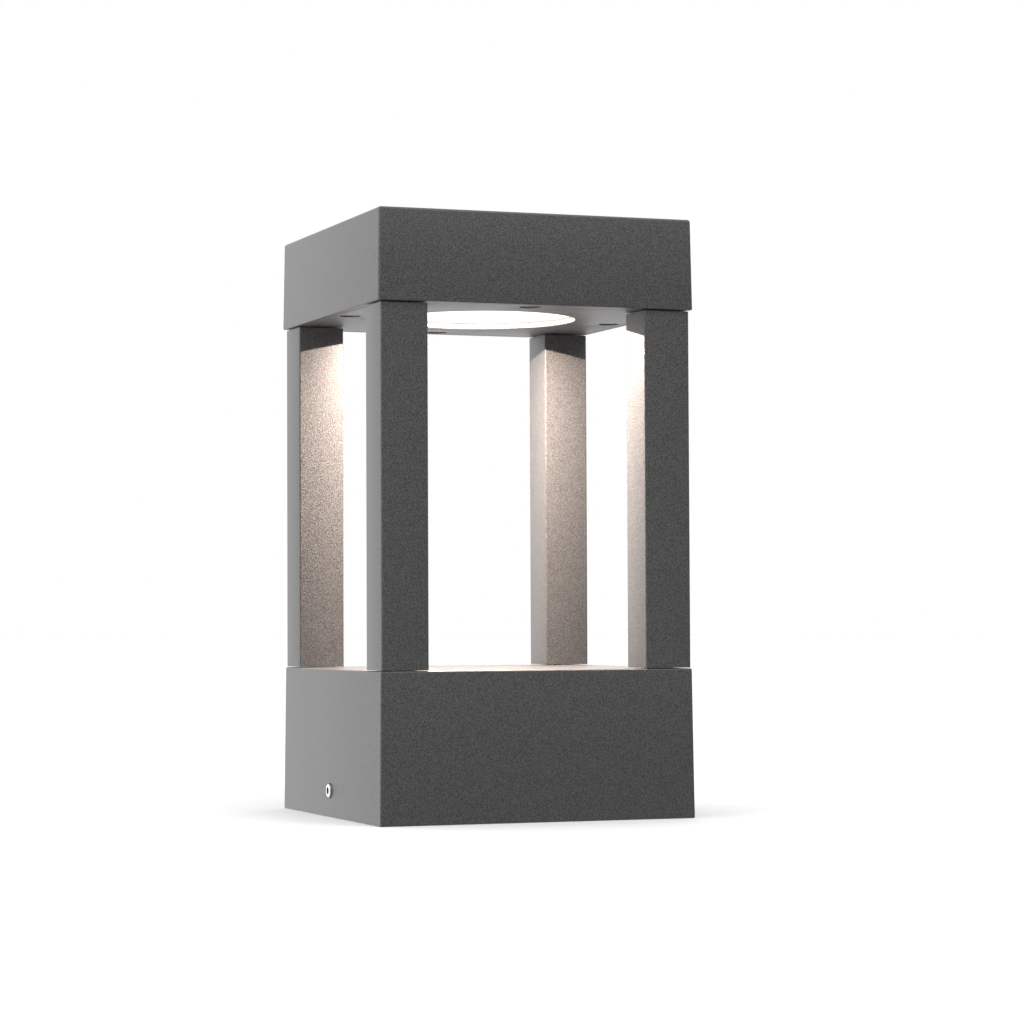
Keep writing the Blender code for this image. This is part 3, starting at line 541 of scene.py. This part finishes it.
def head_screws():
    """Countersunk stainless screws with a softly rounded rim and a hexagon socket."""
    for side in SIDES:
        node = f"head_screw_{side}"
        low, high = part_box(node)
        radius, length, at = (high.x - low.x) / 2, high.z - low.z, (low + high) / 2
        edge = HEAD_SCREW_EDGE
        profile = [(0, length), (SCREW_SHANK, length), (SCREW_SHANK, radius - SCREW_SHANK),
                   (radius, SCREW_LAND), *arc(radius - edge, edge, edge, 0, -90), (0, 0)]
        screw = moved(lathe(f"plate_screw_{side}", profile), at.x, at.y, low.z)
        socket = moved(rod("socket", SOCKET_RADIUS, -PAST, HEAD_SOCKET, HEXAGON), at.x, at.y, low.z)
        socket.rotation_euler.z = SCREW_TURN[side]
        cut(screw, socket)
        dress(screw, "stainless", "luminaire", node)


def window():
    """The opal window. It passes the emitter's light, so it casts no shadow of its own."""
    low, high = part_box("opal_window")
    inner = (high.x - low.x) / 2 - WINDOW_EDGE
    profile = [(0, high.z), *arc(inner, high.z - WINDOW_EDGE, WINDOW_EDGE, 90, 0),
               *arc(inner, low.z + WINDOW_EDGE, WINDOW_EDGE, 0, -90), (0, low.z)]
    disc = lathe("window_disc", profile, FINE_ROUND)
    dress(disc, "opal", "luminaire", "opal_window")
    disc.visible_shadow = False


def posts():
    """Square tubes with slightly rounded corners."""
    wall = Vector((POST_WALL, POST_WALL, -PAST))
    for corner in CORNERS:
        node = f"post_{corner}"
        low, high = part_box(node)
        post = rounded_box(f"post_tube_{corner}", low, high, edge=POST_EDGE, steps=POST_EDGE_STEPS,
                           uprights_only=True)
        cut(post, rounded_box("bore", low + wall, high - wall))
        dress(post, "powder_coat", "luminaire", node)


def base_shell():
    """The cast base, open below, with a hole in each side wall for its set screw."""
    low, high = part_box("base_shell")
    shell = rounded_box("base_casting", low, high, BASE_DRAFT, BASE_EDGE, RIM_EDGE)
    wall = Vector((BASE_WALL, BASE_WALL, 0))
    cavity = rounded_box("cavity", Vector((*(low + wall).xy, low.z - PAST)),
                         Vector((*(high - wall).xy, high.z - BASE_WALL)))
    screw_low, screw_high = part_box("set_screw_left")
    across = rod("side_holes", SET_SCREW_HOLE, -high.x * 2, high.x * 2)
    across.rotation_euler.y = math.pi / 2
    across.location.z = (screw_low.z + screw_high.z) / 2
    cut(shell, cavity, across)
    dress(shell, "powder_coat", "luminaire", "base_shell")


def set_screws():
    """Set screws that lie along X, with their hexagon sockets outwards."""
    for side, sign in (("left", -1), ("right", 1)):
        node = f"set_screw_{side}"
        low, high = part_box(node)
        radius, end, at = (high.z - low.z) / 2, (high.x - low.x) / 2, (low + high) / 2
        edge = SET_SCREW_EDGE
        profile = [(0, -end), (radius - edge, -end), (radius, edge - end),
                   *arc(radius - edge, end - edge, edge, 0, 90), (0, end)]
        screw = lathe(f"side_screw_{side}", profile)
        socket = rod("socket", SOCKET_RADIUS, end - SET_SOCKET, end + PAST, HEXAGON)
        socket.rotation_euler.z = SCREW_TURN[side]
        cut(screw, socket)
        screw.data.transform(Matrix.Translation(at) @ Matrix.Rotation(sign * math.pi / 2, 4, "Y"))
        dress(screw, "stainless", node, node)


def finish_cad_nodes():
    """Gives every CAD node its record slot's material."""
    slots = {part["node"]: part["material_slot"] for part in frame["record"]["subparts"]}
    for name, node in frame["nodes"].items():
        node.data.materials.clear()
        node.data.materials.append(MATERIALS[slots[name]])


add_world()
add_floor()
add_backdrop()
add_camera()
add_softbox()
head_shell()
underside_plate()
head_screws()
window()
posts()
base_shell()
set_screws()
finish_cad_nodes()
add_led()
